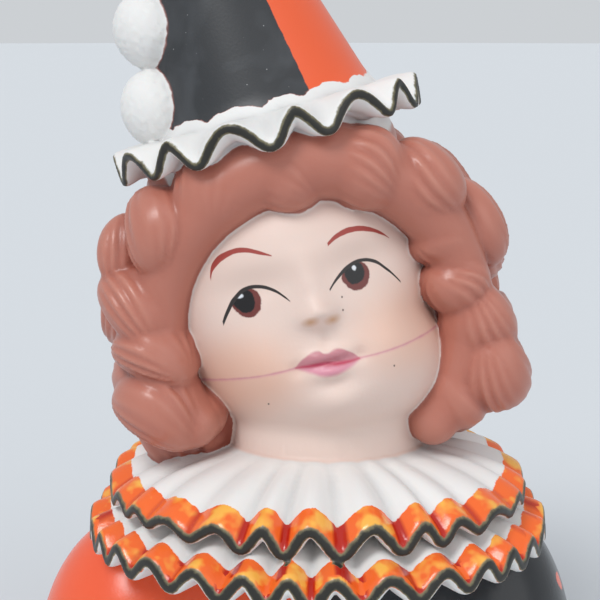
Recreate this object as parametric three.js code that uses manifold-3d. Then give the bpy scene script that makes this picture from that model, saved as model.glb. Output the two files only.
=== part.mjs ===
// Bust of a clown child, slip-cast as one hollow piece of bisque porcelain and painted by hand.
// It wears a leaning cone hat with a frill and a row of pompoms, a wig of moulded curls and a collar of
// two frills, and it is cut off flat below the shoulders, where it stands.
// Millimetres, +Z up. It faces -Y, and the origin is in the middle of its underside.

import * as THREE from "three";
import { mergeVertices } from "three/addons/utils/BufferGeometryUtils.js";
import Module from "manifold-3d";

const wasm = await Module();
wasm.setup();

const { sin, cos, sqrt, exp, hypot, PI } = Math;
const deg = THREE.MathUtils.degToRad;
const lerp = THREE.MathUtils.lerp;

// Driving dimensions

const TORSO = {
  belly: { radii: [20.5, 14.5, 19], centre: [0, 0.8, 2] },
  rightSleeve: { radii: [11, 10.5, 15], centre: [-16.5, 1, 4] },
  leftSleeve: { radii: [9.2, 10.5, 16], centre: [16, 1, 4] },
  bellyGrid: [22, 10],
  sleeveGrid: [16, 10],
  cutSize: 100,
};

const NECK = { radius: 9.3, top: 36, bottom: 14, across: 0.7, back: 0.4, flare: 1.05, sides: 24 };

// A frill's waves are arches that start from a dip at one bearing, 0 being forward, then to the figure's
// left. They crowd together and spread apart as they go round (drift), and swing more in some places than
// in others (swell).
const COLLAR_UPPER = {
  waves: 26,
  start: 5.9,
  drift: 1.6,
  driftCycles: 8,
  driftFrom: -30.5,
  swing: 0.95,
  swell: 0.45,
  rim: 20,
  rimHeight: 22.6,
  neck: 8,
  neckHeight: 26.8,
  lip: 1.2,
  under: 15.5,
};

const COLLAR_LOWER = {
  waves: 30,
  start: -1,
  drift: 1.6,
  driftCycles: 6,
  driftFrom: -22,
  swing: 1.1,
  swell: 0.1,
  rim: 22,
  rimHeight: 18.9,
  neck: 12,
  neckHeight: 22,
  lip: 1.5,
  under: 17.5,
};

// Both tiers sag between neck and rim through the same two knees: share of the way out, share of the fall.
const TIER = {
  knees: [
    [0.8, 0.6],
    [0.45, 0.25],
  ],
  thickness: 2.8,
  core: 6,
  lipSet: 0.4,
  swingFade: 1.4,
  samplesPerWave: 4,
};

const ARCH = { roundness: 0.02, middle: 1.05 };
const SWELLS_PER_TURN = 3;

const HEAD = { centre: [-1.9, 0, 42], yaw: 7, roll: -13.5, pitch: -4.3 };

// The skull runs into a full jaw and double chin that hang level, each an egg of its own.
const SKULL = { radii: [12.7, 12.1, 13.6], centre: [-2.06, 0.4, 41.3] };
const JAW = { radii: [11.3, 10.9, 7.8], centre: [0.8, -1.1, 35.2] };
const HEAD_GRID = { around: 34, rings: 24, crowding: 1.25, blend: 16 };

// Each soft rise (or hollow, below zero) of the face: across, up, its two spreads, how far it stands out.
// One that is off the middle line is there on both sides.
const FACE = {
  noseTip: [0, -1.9, 1.35, 1.2, 1.35],
  noseBridge: [0, 0.7, 1.3, 2.1, 0.55],
  nostril: [1.2, -2.3, 0.8, 0.7, 0.35],
  upperLip: [0.95, -5.8, 1.1, 0.6, 0.5],
  lowerLip: [0, -7.25, 1.6, 0.7, 0.55],
  mouthCorner: [2.9, -6.5, 0.7, 0.7, -0.35],
  lipHollow: [0, -8.6, 1.8, 0.7, -0.3],
  chin: [0, -10.6, 2.6, 1.9, 0.9],
  cheek: [6.2, -5.2, 3.2, 3.4, 1.1],
  eyeSocket: [4.8, 0.9, 2.8, 2.1, -0.6],
  eyeball: [4.8, 0.1, 2.0, 1.3, 0.35],
  forehead: [0, 7.0, 5.0, 3.2, 0.3],
};
const FACE_FADE = 4;

// Angles on the wig: the look is measured from the way the face looks, and the bearing runs round the face,
// 0 at the top and then to the figure's left.
const HAIR = { centre: [-1, 2.5, 38.5], yaw: 5, roll: -5, massRadii: [16.9, 15.4, 17.6] };

// The roll of locks that frames the face, from one end by the jaw to the other.
const ROLL = {
  reach: 14.2,
  fringeLift: 1.3,
  depth: -8,
  fringeDepth: -2.6,
  lockAngle: 26,
  firstLock: -5,
  lastLock: 5,
  parting: 5.5,
  thickness: 2.8,
  fringeThickness: 0.8,
  swell: 0.8,
  swellMiddle: 0.5,
  weave: 0.6,
  roundness: 0.8,
  endTaper: 16,
  sides: 8,
  samplesPerLock: 4,
};

// Curls behind the roll, in wreaths that each keep to one look angle. The slant turns them in their beds.
const WREATHS = [
  { curls: 5, from: -34, to: -131, look: 80, slant: -35 },
  { curls: 5, from: 22, to: 122, look: 80, slant: 35 },
  { curls: 11, from: -150, to: 150, look: 107, slant: 40 },
  { curls: 10, from: -162, to: 162, look: 132, slant: -40 },
  { curls: 6, from: -150, to: 150, look: 157, slant: 30 },
  { curls: 1, from: 180, to: 180, look: 180, slant: 0 },
];

// In front of its edge the mass sinks away inside the head. The edge stays behind the neck below.
const HAIR_EDGE = { look: 56, fade: 9, inner: 9, from: 128, below: 48 };
const CURL = {
  height: 3.1,
  halfLength: 5.4,
  halfWidth: 3.9,
  hook: 0.9,
  roundness: 0.7,
  unevenAngle: 4,
  unevenLook: 2,
  unevenSlant: 0.3,
  unevenHeight: 0.4,
  farthest: 45,
};
const MASS_GRID = { around: 48, rings: 25, crowding: 0.75 };

const HAT = {
  centre: [-4.7, 1.3, 56.1],
  yaw: 7,
  roll: -14.8,
  pitch: -4.3,
  baseRadius: 11.2,
  flare: 1.2,
  flareHeight: 1.8,
  flareLeft: 0.4,
  ringHeights: [5.4, 19],
  tipRadius: 1.3,
  height: 38,
  shear: -2.4,
  foot: -6,
  sides: 32,
};

const FRILL = {
  waves: 15,
  samplesPerWave: 4,
  start: -6.5,
  drift: 1.7,
  driftCycles: 7.5,
  driftFrom: 0,
  swing: 1.5,
  swell: 0.05,
  rim: 14.8,
  rimHeight: 0.2,
  lip: 0.8,
  lipSet: 0.35,
  brow: 0.7,
  browShare: 0.55,
  top: 1.6,
  under: 12.3,
  underHeight: -3.2,
  stillBelow: -2.2,
};

const POMPOMS = {
  heights: [4.6, 11.6, 18.6, 25.2, 31.2],
  radii: [3.3, 3.3, 3, 2.7, 2.4],
  tall: 1.13,
  tipRadius: 2.9,
  bearing: 70,
  grid: [10, 8],
};

// Solids from three.js geometry. Points nearer to each other than the weld are one point.

const WELD = 1e-4;

const solid = (geometry, matrix) => {
  const bare = new THREE.BufferGeometry();
  bare.setAttribute("position", geometry.getAttribute("position").clone());
  bare.setIndex(geometry.index);
  if (matrix) bare.applyMatrix4(matrix);
  const merged = mergeVertices(bare, WELD);
  return new wasm.Manifold(
    new wasm.Mesh({
      numProp: 3,
      vertProperties: merged.attributes.position.array,
      triVerts: new Uint32Array(merged.index.array),
    }),
  );
};

const reshape = (geometry, move) => {
  const place = geometry.getAttribute("position");
  const point = new THREE.Vector3();
  for (let i = 0; i < place.count; i++) {
    move(point.fromBufferAttribute(place, i));
    place.setXYZ(i, point.x, point.y, point.z);
  }
  return geometry;
};

// A frame of its own: yaw about Z after roll about Y after pitch about X.
const frameAt = ({ centre, yaw = 0, roll = 0, pitch = 0 }) =>
  new THREE.Matrix4()
    .makeRotationFromEuler(new THREE.Euler(deg(pitch), deg(roll), deg(yaw), "ZYX"))
    .setPosition(...centre);

const ball = ({ radii, centre }, [across, up]) => {
  const geometry = new THREE.SphereGeometry(1, across, up).rotateX(PI / 2);
  return geometry.scale(...radii).translate(...centre);
};

// A turned ring or cone with its axis along Z, from a profile of [radius, height] that closes on the axis.
const turned = (profile, segments) => {
  const points = profile.map(([radius, height]) => new THREE.Vector2(radius, height));
  return new THREE.LatheGeometry(points, segments).rotateX(PI / 2);
};

const smooth = (from, to, value) => THREE.MathUtils.smoothstep(value, from, to);

// A direction on the head or the wig from its look angle and its bearing.
const towards = (look, bearing) =>
  new THREE.Vector3(sin(look) * sin(bearing), -cos(look), sin(look) * cos(bearing));

const bearingOf = ({ x, z }) => Math.abs(THREE.MathUtils.radToDeg(Math.atan2(x, z)));

// The same small uneven number, from -1 to 1, each time for the same count.
const uneven = (count, kind) => {
  const long = sin(count * 12.9898 + kind * 78.233) * 43758.5453;
  return 2 * (long - Math.floor(long)) - 1;
};

// Arched waves with round crests and sharp dips, from -1 to 1, once for each turn of the phase.
const arches = (phase) => 2 * sqrt(sin(phase / 2) ** 2 + ARCH.roundness) - ARCH.middle;

// A frill's ring of points is even in the phase of its waves. This gives the true bearing of one of them.
const frillBearing = ({ start, drift, driftCycles, driftFrom }, even) =>
  even + deg(start) + deg(drift) * cos(driftCycles * (even - deg(driftFrom)));

const frillSwing = ({ start, swing, swell }, bearing) =>
  swing * (1 + swell * cos(SWELLS_PER_TURN * (bearing - deg(start))));

// Swings the top of a turned frill up and down from its inner radius out to its rim.
const ruffle = (geometry, frill, inner, lowest, fade) => {
  const { waves, rim } = frill;
  return reshape(geometry, (p) => {
    const radius = hypot(p.x, p.y);
    const even = Math.atan2(p.x, -p.y);
    const share = THREE.MathUtils.clamp((radius - inner) / (rim - inner), 0, 1);
    const bearing = frillBearing(frill, even);
    const lift = p.z > lowest ? frillSwing(frill, bearing) * arches(even * waves) * share ** fade : 0;
    p.set(radius * sin(bearing), -radius * cos(bearing), p.z + lift);
  });
};

// The costume: belly and chest with a puffed sleeve on each side

const makeTorso = () => {
  const { belly, rightSleeve, leftSleeve, bellyGrid, sleeveGrid } = TORSO;
  const sleeves = [rightSleeve, leftSleeve].map((sleeve) => solid(ball(sleeve, sleeveGrid)));
  return sleeves.reduce((whole, sleeve) => whole.add(sleeve), solid(ball(belly, bellyGrid)));
};

// The collar: each tier falls from the neck to a rim that swings up and down, then turns back underneath

const makeTier = (tier) => {
  const { waves, rim, rimHeight, neck, neckHeight, lip, under } = tier;
  const knees = TIER.knees.map(([out, fall]) => [lerp(neck, rim, out), lerp(neckHeight, rimHeight, fall)]);
  const profile = [
    [0, rimHeight - TIER.core],
    [under, rimHeight - TIER.thickness],
    [rim - TIER.lipSet, rimHeight - lip],
    [rim, rimHeight],
    ...knees,
    [neck, neckHeight],
    [0, neckHeight],
  ];
  const ring = turned(profile, waves * TIER.samplesPerWave);
  return solid(ruffle(ring, tier, neck, rimHeight - (lip + TIER.thickness) / 2, TIER.swingFade));
};

// The head, with the face raised on its front

const faceRelief = (across, up) => {
  let rise = 0;
  for (const [x, z, wide, tall, height] of Object.values(FACE)) {
    for (const side of x ? [-1, 1] : [1]) {
      rise += height * exp(-(((across - side * x) / wide) ** 2) - ((up - z) / tall) ** 2);
    }
  }
  return rise;
};

// How far it is from a point inside an egg to its shell in one direction.
const shellDistance = (from, direction, { radii, centre }) => {
  const scale = new THREE.Vector3(...radii);
  const offset = new THREE.Vector3(...centre).sub(from).divide(scale);
  const step = direction.clone().divide(scale);
  const reach = step.dot(offset);
  return (reach + sqrt(reach ** 2 - step.lengthSq() * (offset.lengthSq() - 1))) / step.lengthSq();
};

// The sphere's rings run round the way the face looks and crowd together there.
const makeSkull = () => {
  const { around, rings, crowding, blend } = HEAD_GRID;
  const toWorld = frameAt(HEAD);
  const toHead = toWorld.clone().invert();
  const middle = new THREE.Vector3(...SKULL.centre);
  const sphere = new THREE.SphereGeometry(1, around, rings).rotateX(PI);
  return reshape(sphere, (p) => {
    const look = PI * (Math.acos(THREE.MathUtils.clamp(-p.y, -1, 1)) / PI) ** crowding;
    const direction = towards(look, Math.atan2(p.x, p.z)).transformDirection(toWorld);
    const reaches = [SKULL, JAW].map((egg) => shellDistance(middle, direction, egg) ** blend);
    p.copy(middle).addScaledVector(direction, (reaches[0] + reaches[1]) ** (1 / blend));
    p.applyMatrix4(toHead);
    p.y -= faceRelief(p.x, p.z) * smooth(0, FACE_FADE, -p.y);
    p.applyMatrix4(toWorld);
  });
};

const makeHead = () => {
  const { radius, flare, top, bottom, across, back, sides } = NECK;
  const neck = new THREE.CylinderGeometry(radius, radius * flare, top - bottom, sides)
    .rotateX(PI / 2)
    .translate(across, back, (top + bottom) / 2);
  return solid(makeSkull()).add(solid(neck));
};

// The wig: a plain mass, and wreaths of curls laid over it

const curls = WREATHS.flatMap((wreath) =>
  Array.from({ length: wreath.curls }, (_, index) => {
    const share = wreath.curls > 1 ? index / (wreath.curls - 1) : 0;
    const bearing = deg(lerp(wreath.from, wreath.to, share) + CURL.unevenAngle * uneven(index, wreath.look));
    const look = deg(wreath.look + CURL.unevenLook * uneven(index, wreath.to));
    const out = towards(look, bearing);
    const round = new THREE.Vector3(cos(bearing), 0, -sin(bearing));
    const sign = index % 2 ? 1 : -1;
    const along = round.applyAxisAngle(out, deg(wreath.slant * (1 + sign * CURL.unevenSlant)));
    const across = new THREE.Vector3().crossVectors(out, along);
    const height = CURL.height + CURL.unevenHeight * uneven(index, wreath.from);
    return { out, along, across, height, hook: sign * CURL.hook };
  }),
);

// How far the curls stand out from the mass in one direction: the highest of them there.
const curlHeight = (direction) => {
  const [radius] = HAIR.massRadii;
  let highest = 0;
  for (const { out, along, across, height, hook } of curls) {
    if (direction.angleTo(out) > deg(CURL.farthest)) continue;
    const a = (radius * direction.dot(along)) / CURL.halfLength;
    const b = (radius * direction.dot(across)) / CURL.halfWidth + hook * a * a;
    highest = Math.max(highest, height * Math.max(0, 1 - a * a - b * b) ** CURL.roundness);
  }
  return highest;
};

const makeMass = () => {
  const sphere = new THREE.SphereGeometry(1, MASS_GRID.around, MASS_GRID.rings).rotateX(PI);
  return reshape(sphere, (p) => {
    const look = PI * (Math.acos(THREE.MathUtils.clamp(-p.y, -1, 1)) / PI) ** MASS_GRID.crowding;
    const direction = towards(look, Math.atan2(p.x, p.z));
    const [a, b, c] = HAIR.massRadii;
    const egg = 1 / hypot(direction.x / a, direction.y / b, direction.z / c);
    const edge = deg(HAIR_EDGE.look + HAIR_EDGE.below * smooth(HAIR_EDGE.from, 180, bearingOf(direction)));
    const behind = smooth(edge, edge + deg(HAIR_EDGE.fade), look);
    p.copy(direction).multiplyScalar(lerp(HAIR_EDGE.inner, egg + curlHeight(direction), behind));
  });
};

// The middle line of the roll is further out, and further forward, over the forehead.
const fringeShare = (bearing) => Math.max(0, cos(deg(bearing))) ** 2;

const rollAt = (lock, bearing) => {
  const weave = ROLL.weave * sin(PI * lock) * (1 - fringeShare(bearing));
  const reach = ROLL.reach + ROLL.fringeLift * fringeShare(bearing) + weave;
  const depth = ROLL.depth + ROLL.fringeDepth * fringeShare(bearing);
  return new THREE.Vector3(reach * sin(deg(bearing)), depth, reach * cos(deg(bearing)));
};

const rollRadius = (lock, bearing) =>
  ROLL.thickness +
  ROLL.fringeThickness * fringeShare(bearing) +
  ROLL.swell * (Math.abs(sin(PI * lock)) ** ROLL.roundness - ROLL.swellMiddle);

// The roll is a bent tube that swells at each lock and closes to a point at both ends.
const makeRoll = () => {
  const { lockAngle, firstLock, lastLock, parting, sides, samplesPerLock, endTaper } = ROLL;
  const stations = (lastLock - firstLock) * samplesPerLock;
  const tube = new THREE.SphereGeometry(1, sides, stations);
  return reshape(tube, (p) => {
    const share = Math.acos(THREE.MathUtils.clamp(p.y, -1, 1)) / PI;
    const lock = lerp(firstLock, lastLock, share);
    const bearing = parting + lockAngle * lock;
    const radius = rollRadius(lock, bearing) * sqrt(1 - (2 * share - 1) ** endTaper);
    const round = Math.atan2(p.z, p.x);
    const out = new THREE.Vector3(sin(deg(bearing)), 0, cos(deg(bearing)));
    p.copy(rollAt(lock, bearing)).addScaledVector(out, radius * cos(round));
    p.y -= radius * sin(round);
  });
};

const makeHair = () => {
  const place = frameAt(HAIR);
  return solid(makeMass(), place).add(solid(makeRoll(), place));
};

// The hat: a leaning cone, the frill round its foot and the pompoms up its side

const coneRadius = (height) => lerp(HAT.baseRadius, HAT.tipRadius, height / HAT.height);

const makeCone = () => {
  const { foot, baseRadius, flare, flareHeight, flareLeft, ringHeights } = HAT;
  const { tipRadius, height, shear, sides } = HAT;
  const profile = [
    [0, foot],
    [baseRadius, foot],
    [baseRadius + flare, 0],
    [coneRadius(flareHeight) + flareLeft * flare, flareHeight],
    ...ringHeights.map((ringHeight) => [coneRadius(ringHeight), ringHeight]),
    [tipRadius, height],
    [0, height],
  ];
  const cone = reshape(turned(profile, sides), (p) => {
    p.x += (shear * Math.max(p.z, 0)) / height;
  });
  return solid(cone, frameAt(HAT));
};

const makeFrill = () => {
  const { waves, samplesPerWave, rim, rimHeight, lip, lipSet } = FRILL;
  const { brow, browShare, top, under, underHeight, stillBelow } = FRILL;
  const inner = HAT.baseRadius;
  const profile = [
    [0, underHeight],
    [under, underHeight],
    [rim - lipSet, rimHeight - lip],
    [rim, rimHeight],
    [lerp(inner, rim, browShare), brow],
    [inner, top],
    [0, top],
  ];
  const frill = ruffle(turned(profile, waves * samplesPerWave), FRILL, inner, stillBelow, 1);
  return solid(frill, frameAt(HAT));
};

const makePompom = (radius, centre) =>
  solid(ball({ radii: [radius, radius, radius * POMPOMS.tall], centre }, POMPOMS.grid), frameAt(HAT));

const makePompoms = () => {
  const bearing = deg(POMPOMS.bearing);
  const row = POMPOMS.heights.map((height, index) => {
    const out = coneRadius(height);
    const lean = (HAT.shear * height) / HAT.height;
    return makePompom(POMPOMS.radii[index], [lean - out * sin(bearing), -out * cos(bearing), height]);
  });
  return [...row, makePompom(POMPOMS.tipRadius, [HAT.shear, 0, HAT.height])];
};

// One casting: everything joined, and cut off flat at the underside

const cast = () => {
  const parts = [
    makeTorso(),
    makeTier(COLLAR_LOWER),
    makeTier(COLLAR_UPPER),
    makeHead(),
    makeHair(),
    makeCone(),
    makeFrill(),
    ...makePompoms(),
  ];
  const whole = parts.reduce((sum, part) => sum.add(part));
  const { cutSize } = TORSO;
  const below = new THREE.BoxGeometry(cutSize, cutSize, cutSize).translate(0, 0, -cutSize / 2);
  return whole.subtract(solid(below));
};

const geometryOf = (manifold) => {
  const { vertProperties, triVerts } = manifold.getMesh();
  const geometry = new THREE.BufferGeometry();
  geometry.setAttribute("position", new THREE.BufferAttribute(new Float32Array(vertProperties), 3));
  geometry.setIndex(new THREE.BufferAttribute(new Uint32Array(triVerts), 1));
  geometry.computeVertexNormals();
  return geometry;
};

const bisque = new THREE.MeshStandardMaterial({ color: 0xe9ddd3, roughness: 0.6, metalness: 0 });
const bust = new THREE.Mesh(geometryOf(cast()), bisque);
bust.name = "clown_bust";

const figurine = new THREE.Group();
figurine.add(bust);

export default figurine;
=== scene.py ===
# Bust of a clown child in painted bisque porcelain: a leaning cone hat with pompoms, a wig of moulded
# curls, a painted face and a collar of two frills. The real one is cast in one piece, so the sections add
# their forms to one casting and lay their paint on it, and the last one makes the piece.

import math

import bpy
import numpy as np
import openvdb
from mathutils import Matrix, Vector


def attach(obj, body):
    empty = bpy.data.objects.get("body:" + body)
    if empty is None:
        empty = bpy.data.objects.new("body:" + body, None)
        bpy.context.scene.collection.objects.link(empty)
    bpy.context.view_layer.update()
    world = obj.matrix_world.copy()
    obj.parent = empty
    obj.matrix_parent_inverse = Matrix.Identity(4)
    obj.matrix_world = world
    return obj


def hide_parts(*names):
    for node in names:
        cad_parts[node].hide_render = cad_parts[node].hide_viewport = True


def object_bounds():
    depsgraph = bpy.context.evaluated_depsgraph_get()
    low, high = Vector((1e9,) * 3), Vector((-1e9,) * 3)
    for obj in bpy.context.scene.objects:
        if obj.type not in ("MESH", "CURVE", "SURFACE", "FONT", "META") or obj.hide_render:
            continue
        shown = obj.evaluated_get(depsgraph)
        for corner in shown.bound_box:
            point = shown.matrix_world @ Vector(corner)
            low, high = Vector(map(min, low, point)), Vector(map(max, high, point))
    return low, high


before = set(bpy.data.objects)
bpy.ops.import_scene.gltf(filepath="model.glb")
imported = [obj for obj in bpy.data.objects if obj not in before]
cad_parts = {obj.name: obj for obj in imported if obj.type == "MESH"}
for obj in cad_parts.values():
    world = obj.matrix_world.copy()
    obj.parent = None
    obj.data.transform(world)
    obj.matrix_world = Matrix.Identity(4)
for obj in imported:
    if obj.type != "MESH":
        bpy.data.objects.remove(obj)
cad_low, cad_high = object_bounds()
scene = bpy.context.scene
scene.view_settings.view_transform = "Standard"

# Camera: it stands 158 mm from the face and looks down on it by 10 degrees, with a lens of 100 mm.

MM = 0.001
LOOK_DOWN = math.radians(10)
STAND_OFF = 158.33 * MM
target = Vector((-1.7 * MM, 0, 40 * MM))
camera = bpy.data.objects.new("camera", bpy.data.cameras.new("camera"))
scene.collection.objects.link(camera)
scene.camera = camera
camera.data.lens = 100
camera.data.sensor_width = 36
camera.data.clip_start = 10 * MM
camera.location = target + STAND_OFF * Vector((0, -math.cos(LOOK_DOWN), math.sin(LOOK_DOWN)))
camera.rotation_euler = (target - camera.location).to_track_quat("-Z", "Y").to_euler()

# The clay: one material for the whole casting. Bisque is porcelain fired without a glaze, so it is matt,
# very fine grained and lets a little light in. Every paint is a coat over it.

material = bpy.data.materials.new("hand-painted bisque porcelain")
material.use_nodes = True
tree = material.node_tree
tree.nodes.clear()


def hex_colour(code):
    """Turns an sRGB hex value to linear red, green, blue and alpha."""
    shares = [int(code[i : i + 2], 16) / 255 for i in (1, 3, 5)]
    return [s / 12.92 if s <= 0.04045 else ((s + 0.055) / 1.055) ** 2.4 for s in shares] + [1]


def add(kind, links=(), **settings):
    """Adds a node with its settings, and links each of its inputs or sets its value."""
    node = tree.nodes.new(kind)
    for name, value in settings.items():
        setattr(node, name, value)
    for name, source in dict(links).items():
        if isinstance(source, bpy.types.NodeSocket):
            tree.links.new(source, node.inputs[name])
        else:
            node.inputs[name].default_value = source
    return node


object_place = add("ShaderNodeTexCoord").outputs["Object"]
place_mm = add("ShaderNodeMapping", {"Vector": object_place, "Scale": (MM, MM, MM)}, vector_type="TEXTURE")
place_mm = place_mm.outputs[0]
hand_noise = add("ShaderNodeTexNoise", {"Vector": place_mm, "Scale": 0.9, "Detail": 3, "Roughness": 0.6})
hand_shake = add("ShaderNodeMath", {0: hand_noise.outputs[0], 1: 0.5}, operation="SUBTRACT").outputs[0]
hollow = add("ShaderNodeAttribute", attribute_name="hollow").outputs["Fac"]

BISQUE_WHITE = hex_colour("#E3E2E0")
BISQUE_SHADE_AND_DUST_GREY = hex_colour("#B9B8B8")
# Painted shade: the white clay turns grey in its hollows, the greyer the more hollow it is. The same grey makes the
# dust on the hat.
clay_with_painted_shade = add("ShaderNodeMix", {6: BISQUE_WHITE, 7: BISQUE_SHADE_AND_DUST_GREY}, data_type="RGBA")
painted_shade_in_hollows = add("ShaderNodeMapRange", {0: hollow, 1: 0.02, 2: 0.5, 4: 0.75})
tree.links.new(painted_shade_in_hollows.outputs[0], clay_with_painted_shade.inputs[0])
painted = {"colour": clay_with_painted_shade.outputs[2], "roughness": 0.6, "rise": 0.0}


def coat(cover, colour, roughness):
    """Lays one coat of paint, painted shade or painted highlight over what is there, as far as its cover goes."""
    over = {0: cover, 6: painted["colour"], 7: colour}
    painted["colour"] = add("ShaderNodeMix", over, data_type="RGBA").outputs[2]
    gloss = {0: cover, 2: painted["roughness"], 3: roughness}
    painted["roughness"] = add("ShaderNodeMix", gloss).outputs[0]


def cover_of(gap, soft=0.05, shake=0.0):
    """The cover of a paint that ends where its gap in mm is zero, with a shaky edge."""
    shaken = add("ShaderNodeMath", {0: hand_shake, 1: shake, 2: gap}, operation="MULTIPLY_ADD").outputs[0]
    fall = {0: shaken, 1: soft, 2: -soft}
    return add("ShaderNodeMapRange", fall, interpolation_type="SMOOTHSTEP").outputs[0]


def both(cover, other):
    """The cover that two covers share."""
    return add("ShaderNodeMath", {0: cover, 1: other}, operation="MULTIPLY").outputs[0]


# The costume: a small belly and chest with a puffed sleeve on each side, a thin shell of porcelain that is
# cut off flat below. One half is painted orange, the other black, each with dots of the other colour.

STEP = 0.25
MARGIN = 1.0
low_mm = np.floor(np.array(cad_low) / MM - MARGIN)
high_mm = np.array(cad_high) / MM + MARGIN
casting = np.full(np.ceil((high_mm - low_mm) / STEP).astype(int), 4.0, np.float32)
gaps = {}


def joined(one, other, fillet):
    """Joins two distance fields, with a fillet of about that size in the corner between them."""
    share = np.clip(0.5 + 0.5 * (other - one) / fillet, 0, 1)
    return other + (one - other) * share - fillet * share * (1 - share)


def cast_in(form, low, high, fillet):
    """Adds a form to the casting, inside the box from low to high in mm."""
    first = np.maximum(np.floor((np.array(low) - low_mm) / STEP), 0).astype(int)
    last = np.minimum(np.ceil((np.array(high) - low_mm) / STEP) + 1, casting.shape).astype(int)
    rows = [low_mm[i] + STEP * np.arange(first[i], last[i]) for i in range(3)]
    points = np.stack(np.meshgrid(*rows, indexing="ij"), -1).astype(np.float32)
    box = tuple(slice(a, b) for a, b in zip(first, last))
    casting[box] = joined(casting[box], form(points), fillet)


def egg(points, centre, radii):
    """Distance in mm from an egg, below zero inside."""
    out = (points - np.array(centre, np.float32)) / np.array(radii, np.float32)
    size = np.linalg.norm(out, axis=-1) + 1e-6
    return size * (size - 1) / np.linalg.norm(out / np.array(radii, np.float32), axis=-1)


BELLY = ((0, 0.8, 2), (20.5, 14.5, 19))
RIGHT_SLEEVE = ((-16.5, 1, 4), (11, 10.5, 15))
LEFT_SLEEVE = ((16, 1, 4), (9.2, 10.5, 16))
SLEEVE_FILLET = 1.2


def costume(points):
    body = joined(egg(points, *BELLY), egg(points, *RIGHT_SLEEVE), SLEEVE_FILLET)
    return joined(body, egg(points, *LEFT_SLEEVE), SLEEVE_FILLET)


cast_in(costume, (-29, -15, -1), (27, 17, 22), SLEEVE_FILLET)
gaps["costume"] = costume

ORANGE_GLOSS = hex_colour("#EC5E38")
BLACK_SATIN = hex_colour("#2B2D30")
HALVES_MEET = 0.8
DOT_RADIUS = 1.6

across = add("ShaderNodeSeparateXYZ", {0: place_mm})
right_half = add("ShaderNodeMath", {0: across.outputs[0], 1: HALVES_MEET}, operation="SUBTRACT").outputs[0]
orange_half = cover_of(right_half, 0.05, 0.4)
costume_gap = add("ShaderNodeAttribute", attribute_name="costume").outputs["Fac"]
costume_cover = cover_of(costume_gap, 0.06, 0.1)
half_colour = {0: orange_half, 6: BLACK_SATIN, 7: ORANGE_GLOSS}
half_colour = add("ShaderNodeMix", half_colour, data_type="RGBA").outputs[2]
coat(costume_cover, half_colour, 0.25)
dot_places = [(-18.6, -9.2, 10.4), (24.6, -1.8, 13.2)]
for row, height in enumerate((3.0, 8.5)):
    for turn in range(0, 360, 30):
        angle = math.radians(turn + 15 * (row % 2))
        side = 1 if math.sin(angle) > 0 else -1
        dot_places.append((side * 14 + 12.5 * math.sin(angle), 1 - 11.5 * math.cos(angle), height))
nearest = 9.0
for dot in dot_places:
    away = add("ShaderNodeVectorMath", {0: place_mm, 1: dot}, operation="DISTANCE").outputs["Value"]
    nearest = add("ShaderNodeMath", {0: nearest, 1: away}, operation="MINIMUM").outputs[0]
dot_gap = add("ShaderNodeMath", {0: nearest, 1: DOT_RADIUS}, operation="SUBTRACT").outputs[0]
dot_colour = {0: orange_half, 6: ORANGE_GLOSS, 7: BLACK_SATIN}
dot_colour = add("ShaderNodeMix", dot_colour, data_type="RGBA").outputs[2]
coat(both(costume_cover, cover_of(dot_gap, 0.08, 0.5)), dot_colour, 0.2)

# The collar: two frills of porcelain, pressed wavy while soft. The clay is left white but for an orange
# band along each rim, with painted shade in red in the dips and a painted highlight in yellow on the crests,
# and a black line on the edge.

COLLAR_UPPER = dict(
    waves=26, start=5.9, drift=1.6, drift_cycles=8, drift_from=-30.5, swing=0.95, swell=0.45,
    rim=20, rim_height=22.6, inner=8, inner_height=26.8, lip=1.05, thicken=0.55, deepest=6, fade=1.4, bend=3.4,
)
COLLAR_LOWER = dict(
    waves=30, start=-1, drift=1.6, drift_cycles=6, drift_from=-22, swing=1.1, swell=0.1,
    rim=22, rim_height=18.9, inner=12, inner_height=22, lip=1.2, thicken=0.55, deepest=6, fade=1.4, bend=2.6,
)
ROUND_CREST = 0.02
CREST_MIDDLE = 1.05
EVEN_FALL = 0.45
EDGE_ROUND = 0.3
TABLE_TURNS = 3600
TABLE_RISE = 4.0
TABLE_STEP = 0.1


def arches(phase):
    """Waves with round crests and sharp dips."""
    return 2 * np.sqrt(np.sin(phase / 2) ** 2 + ROUND_CREST) - CREST_MIDDLE


def rim_table(frill):
    """Distances from the wavy rim line, unrolled: rows run round the rim from the back, columns go up."""
    even = np.linspace(-math.pi, math.pi, TABLE_TURNS, endpoint=False)
    start, drift, drift_from = (math.radians(frill[k]) for k in ("start", "drift", "drift_from"))
    bearing = even + start + drift * np.cos(frill["drift_cycles"] * (even - drift_from))
    swing = frill["swing"] * (1 + frill["swell"] * np.cos(3 * (bearing - start)))
    line = swing * arches(even * frill["waves"])
    line = np.interp(even, bearing, line, period=2 * math.pi)
    rise = np.arange(-TABLE_RISE, TABLE_RISE + TABLE_STEP, TABLE_STEP)
    nearest_rim = np.full((TABLE_TURNS, len(rise)), 99.0)
    for shift in range(-40, 41):
        aside = frill["rim"] * shift * 2 * math.pi / TABLE_TURNS
        drop = rise[None, :] - np.roll(line, shift)[:, None]
        nearest_rim = np.minimum(nearest_rim, drop * drop + aside * aside)
    return np.sqrt(nearest_rim) * np.sign(rise[None, :] - line[:, None]), line


def look_up(table, bearing, rise):
    """Reads a rim table at any bearing and height, straight between its entries."""
    row = (bearing + math.pi) * TABLE_TURNS / (2 * math.pi)
    column = np.clip((rise + TABLE_RISE) / TABLE_STEP, 0, table.shape[1] - 1.001)
    i, j = np.floor(row).astype(int), np.floor(column).astype(int)
    u, v = row - i, column - j
    i, after = i % TABLE_TURNS, (i + 1) % TABLE_TURNS
    first = table[i, j] * (1 - v) + table[i, j + 1] * v
    second = table[after, j] * (1 - v) + table[after, j + 1] * v
    return first * (1 - u) + second * u


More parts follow.
